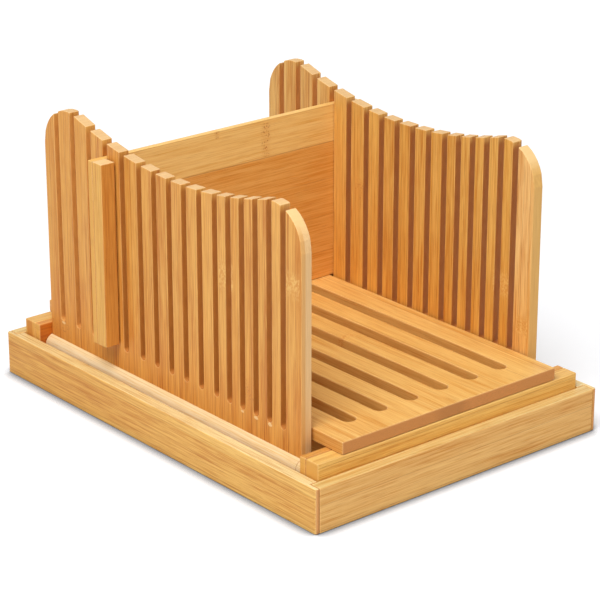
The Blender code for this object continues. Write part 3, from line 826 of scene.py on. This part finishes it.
class GUIDE_OT_fastenings(bpy.types.Operator):
    """Turn the board's pegs, the hinge pins and the rail screws"""

    bl_idname = "guide.fastenings"
    bl_label = "Pegs, pins and screws"

    def execute(self, context):
        tones = context.scene.guide_tones
        pegs = bamboo("peg_bamboo", "z", "x", 3.1 * MM, 61.0, light=tones.pale, dark=tones.honey,
                      contrast=0.5, worn=0.0)
        pins = bamboo("pin_bamboo", "y", "x", 2.3 * MM, 67.0, dark=tones.amber, contrast=0.5,
                      worn=0.0)
        steel = brushed_steel("screw_steel")
        for end_name, end in ENDS.items():
            for side_name in SIDES:
                place = end_name + "_" + side_name
                self.peg(context, "board_peg_" + place, pegs)
                self.pin(side_name, end_name, pins)
                self.screw(context, "rail_screw_" + place, end, steel)
        return {"FINISHED"}

    def peg(self, context, node, material):
        low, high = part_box(node)
        radius = (high.x - low.x) / 2
        chamfer = context.scene.guide_fastenings.peg_chamfer
        length = high.z - low.z
        profile = [(radius - chamfer, 0.0), (radius, chamfer), (radius, length - chamfer),
                   (radius - chamfer, length)]
        bm = bmesh.new()
        spin(bm, profile, ((low.x + high.x) / 2, (low.y + high.y) / 2, low.z), (0, 0, 1))
        item = new_piece(node.replace("board_peg", "peg"), bm, material, "base_frame")
        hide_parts(node)

    def pin(self, side_name, end_name, material):
        node = side_name + "_hinge_pin_" + end_name
        low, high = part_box(node)
        radius = (high.x - low.x) / 2
        length = high.y - low.y
        profile = [(radius - 0.4 * MM, 0.0), (radius, 0.4 * MM), (radius, length - 0.4 * MM),
                   (radius - 0.4 * MM, length)]
        bm = bmesh.new()
        spin(bm, profile, ((low.x + high.x) / 2, low.y, (low.z + high.z) / 2), (0, 1, 0), 32)
        item = new_piece(side_name + "_pin_" + end_name, bm, material, side_name + "_wall")
        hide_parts(node)

    def screw(self, context, node, end, material):
        fastenings = context.scene.guide_fastenings
        low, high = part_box(node)
        head = (high.x - low.x) / 2
        shank = head / 2
        length = high.y - low.y
        start = high.y if end > 0 else low.y
        depth = fastenings.cross_depth
        arm = fastenings.cross_width
        recess = [(arm * 0.3, depth), (arm * 0.5, 0.35 * MM), (arm * 0.9, 0.0)]
        profile = recess + [(head - 0.15 * MM, 0.0), (head, 0.15 * MM), (head, 0.35 * MM),
                            (shank * 1.1, 2.3 * MM), (shank, 2.8 * MM)]
        pitch = 1.4 * MM
        first_turn = 3.2 * MM
        root = shank * 0.72
        turns = int((length - 6 * MM) / pitch)
        for index in range(turns):
            along = first_turn + index * pitch
            profile += [(root, along), (shank, along + pitch / 2)]
        profile += [(shank * 0.6, length - 2 * MM), (0.1 * MM, length)]
        bm = bmesh.new()
        centre = ((low.x + high.x) / 2, start, (low.z + high.z) / 2)
        spin(bm, profile, centre, (0, -end, 0), 24)
        item = new_piece(node.replace("rail_screw", "screw"), bm, material, "base_frame")
        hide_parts(node)


class GUIDE_OT_stop(bpy.types.Operator):
    """Finish the stop plate and its two battens"""

    bl_idname = "guide.stop"
    bl_label = "Stop"

    def execute(self, context):
        sizes = context.scene.guide_grain
        tones = context.scene.guide_tones
        knots = [
            (161.0 * MM, 32.0 * MM, 24 * MM, 11 * MM, True),
            (173.0 * MM, -10.0 * MM, 5 * MM, 6 * MM, True),
            (92.0 * MM, -48.0 * MM, 20 * MM, 8 * MM, True),
        ]
        # The plate's cast makes it lighter and paler, partly painted light standing in for light the
        # lamps don't give it.
        plate = bamboo("plate_bamboo", "x", "z", sizes.board_strip * 1.35, 72.0, contrast=0.35,
                       light=tones.straw, dark=tones.honey, cast=(1.12, 1.19, 1.33), knots=knots,
                       seam=(148.5 * MM, (0.9, 0.71, 0.52)), block=60 * MM, marks=0.2,
                       end_tone=between(tones.pale, tones.honey, 0.3))
        dress(plate, "stop_plate")
        batten = bamboo("batten_bamboo", "z", "y", sizes.wall_strip, 83.0, contrast=0.5,
                        cast=(1.03, 1.06, 1.03), flank=(0.95, 0.78, 0.66), end_tone=tones.cream,
                        marks=0.3)
        dress(batten, "left_stop_batten", "right_stop_batten")
        return {"FINISHED"}


class GUIDE_OT_tray(bpy.types.Operator):
    """Finish the tray's four sides and its floor"""

    bl_idname = "guide.tray"
    bl_label = "Tray"

    def execute(self, context):
        sizes = context.scene.guide_grain
        tones = context.scene.guide_tones
        strip = sizes.tray_strip
        light_front = (80 * MM, -60 * MM, (1.08, 1.19, 1.4))
        side = bamboo("tray_side_bamboo", "y", "z", strip, 91.0, contrast=0.8, figure=0.6,
                      light=between(tones.pale, tones.cream, 0.3),
                      dark=between(tones.amber, tones.knot, 0.4),
                      cast=(1.02, 0.97, 0.7), foot=light_front, flank=(1.0, 1.36, 2.6),
                      end_tone=(0.72, 0.33, 0.1), block=60 * MM, marks=0.5, worn=0.4)
        dress(side, "tray_left_side", "tray_right_side")
        ends = bamboo("tray_end_bamboo", "x", "z", strip * 1.6, 97.0, contrast=0.6,
                      cast=(1.09, 1.05, 0.9), flank=(0.86, 1.08, 1.46),
                      light=between(tones.pale, tones.cream, 0.5),
                      dark=between(tones.amber, tones.honey, 0.45), end_tone=tones.end_grain)
        dress(ends, "tray_front", "tray_rear")
        floor = bamboo("tray_floor_bamboo", "y", "x", strip * 2, 103.0, contrast=0.6)
        dress(floor, "tray_floor")
        return {"FINISHED"}


class GUIDE_OT_studio(bpy.types.Operator):
    """Set the floor, the lamps and the camera"""

    bl_idname = "guide.studio"
    bl_label = "Studio"

    def execute(self, context):
        studio = context.scene.guide_studio
        context.scene.view_settings.view_transform = "Standard"
        self.floor(studio)
        self.sky(context, studio)
        self.lamp("key_lamp", (-1.1, -0.6, 1.85), 1.2, studio.key_power)
        self.lamp("fill_lamp", (0.55, -1.7, 0.95), 1.4, studio.fill_power)
        self.camera(context, studio)
        return {"FINISHED"}

    def floor(self, studio):
        finish = Finish(bpy.data.materials.new("pale_floor"))
        place = finish.split(finish.node("ShaderNodeTexCoord").output("Object"))
        away = (place["x"] * place["x"] + place["y"] * place["y"]).rise(0.09, 1.4)
        glow = finish.blend(away, (studio.glow_near,) * 3, (studio.glow_far,) * 3)
        # Painted contact shadow: where ambient occlusion finds the piece close by, the floor's colour
        # turns to the contact tone and its added white falls away.
        near = finish.node("ShaderNodeAmbientOcclusion", {"samples": 8},
                           {"Distance": studio.contact}, output=1)
        open_floor = near.rise(0.45, 0.97)
        tone = finish.blend(open_floor, tuple(studio.contact_shadow_tone), tuple(studio.floor))
        glow = finish.blend(open_floor, (0.0, 0.0, 0.0), glow)
        glow = finish.blend(finish.seen(), (0, 0, 0), glow)
        inputs = {"Base Color": tone, "Roughness": 0.9,
                  "Specular IOR Level": 0.0, "Emission Color": glow, "Emission Strength": 1.0}
        shader = finish.node("ShaderNodeBsdfPrincipled", None, inputs)
        finish.node("ShaderNodeOutputMaterial", None, {"Surface": shader})
        half = studio.floor_size / 2
        bm = bmesh.new()
        corners = ((-half, -half), (half, -half), (half, half), (-half, half))
        bm.faces.new([bm.verts.new((x, y, -0.05 * MM)) for x, y in corners])
        mesh = bpy.data.meshes.new("floor")
        bm.to_mesh(mesh)
        bm.free()
        mesh.materials.append(finish.owner)
        item = bpy.data.objects.new("floor", mesh)
        bpy.context.scene.collection.objects.link(item)

    def sky(self, context, studio):
        world = bpy.data.worlds.new("studio_light")
        context.scene.world = world
        sky = Finish(world)
        seen = sky.seen()
        even = sky.node("ShaderNodeBackground", None, {0: (1, 1, 1, 1), 1: studio.sky})
        white = sky.node("ShaderNodeBackground", None, {0: (1, 1, 1, 1), 1: 1.0})
        shader = sky.node("ShaderNodeMixShader", None, {0: seen, 1: even, 2: white})
        sky.node("ShaderNodeOutputWorld", None, {"Surface": shader})

    def lamp(self, name, place, size, power):
        data = bpy.data.lights.new(name, "AREA")
        data.shape = "SQUARE"
        data.size = size
        data.energy = power
        item = bpy.data.objects.new(name, data)
        item.location = place
        aim = Vector((0, 0, 0.08)) - Vector(place)
        item.rotation_euler = aim.to_track_quat("-Z", "Y").to_euler()
        bpy.context.scene.collection.objects.link(item)

    def camera(self, context, studio):
        data = bpy.data.cameras.new("camera")
        data.sensor_width = 36.0
        data.lens = studio.camera_lens
        data.clip_start = 0.01
        data.clip_end = 50.0
        item = bpy.data.objects.new("camera", data)
        item.location = studio.camera_place
        item.rotation_euler = (studio.camera_tilt, 0.0, studio.camera_turn)
        context.scene.collection.objects.link(item)
        context.scene.camera = item


# Sidebar


class GUIDE_PT_sidebar(bpy.types.Panel):
    """Sizes, colours and steps of the slicing guide"""

    bl_idname = "GUIDE_PT_sidebar"
    bl_label = "Bread slicing guide"
    bl_space_type = "VIEW_3D"
    bl_region_type = "UI"
    bl_category = "Slicing guide"

    def draw(self, context):
        for group in GROUPS:
            box = self.layout.box()
            box.label(text=group.__doc__)
            owner = getattr(context.scene, GROUPS[group])
            for field in group.__annotations__:
                box.prop(owner, field)
        for step in STEPS:
            self.layout.operator(step.bl_idname)


GROUPS = {
    BambooTones: "guide_tones",
    BambooGrain: "guide_grain",
    Fastenings: "guide_fastenings",
    Studio: "guide_studio",
}
STEPS = (
    GUIDE_OT_comb_walls,
    GUIDE_OT_foot_barrels,
    GUIDE_OT_board,
    GUIDE_OT_base_frame,
    GUIDE_OT_fastenings,
    GUIDE_OT_stop,
    GUIDE_OT_tray,
    GUIDE_OT_studio,
)


def register():
    for group, field in GROUPS.items():
        bpy.utils.register_class(group)
        setattr(bpy.types.Scene, field, bpy.props.PointerProperty(type=group))
    for step in STEPS:
        bpy.utils.register_class(step)
    bpy.utils.register_class(GUIDE_PT_sidebar)


def unregister():
    bpy.utils.unregister_class(GUIDE_PT_sidebar)
    for step in reversed(STEPS):
        bpy.utils.unregister_class(step)
    for group, field in GROUPS.items():
        delattr(bpy.types.Scene, field)
        bpy.utils.unregister_class(group)


def main():
    """Registers the add-on and makes every piece."""
    register()
    bpy.ops.guide.comb_walls()
    bpy.ops.guide.foot_barrels()
    bpy.ops.guide.board()
    bpy.ops.guide.base_frame()
    bpy.ops.guide.fastenings()
    bpy.ops.guide.stop()
    bpy.ops.guide.tray()
    bpy.ops.guide.studio()
    bpy.context.view_layer.update()


if __name__ == "__main__":
    main()
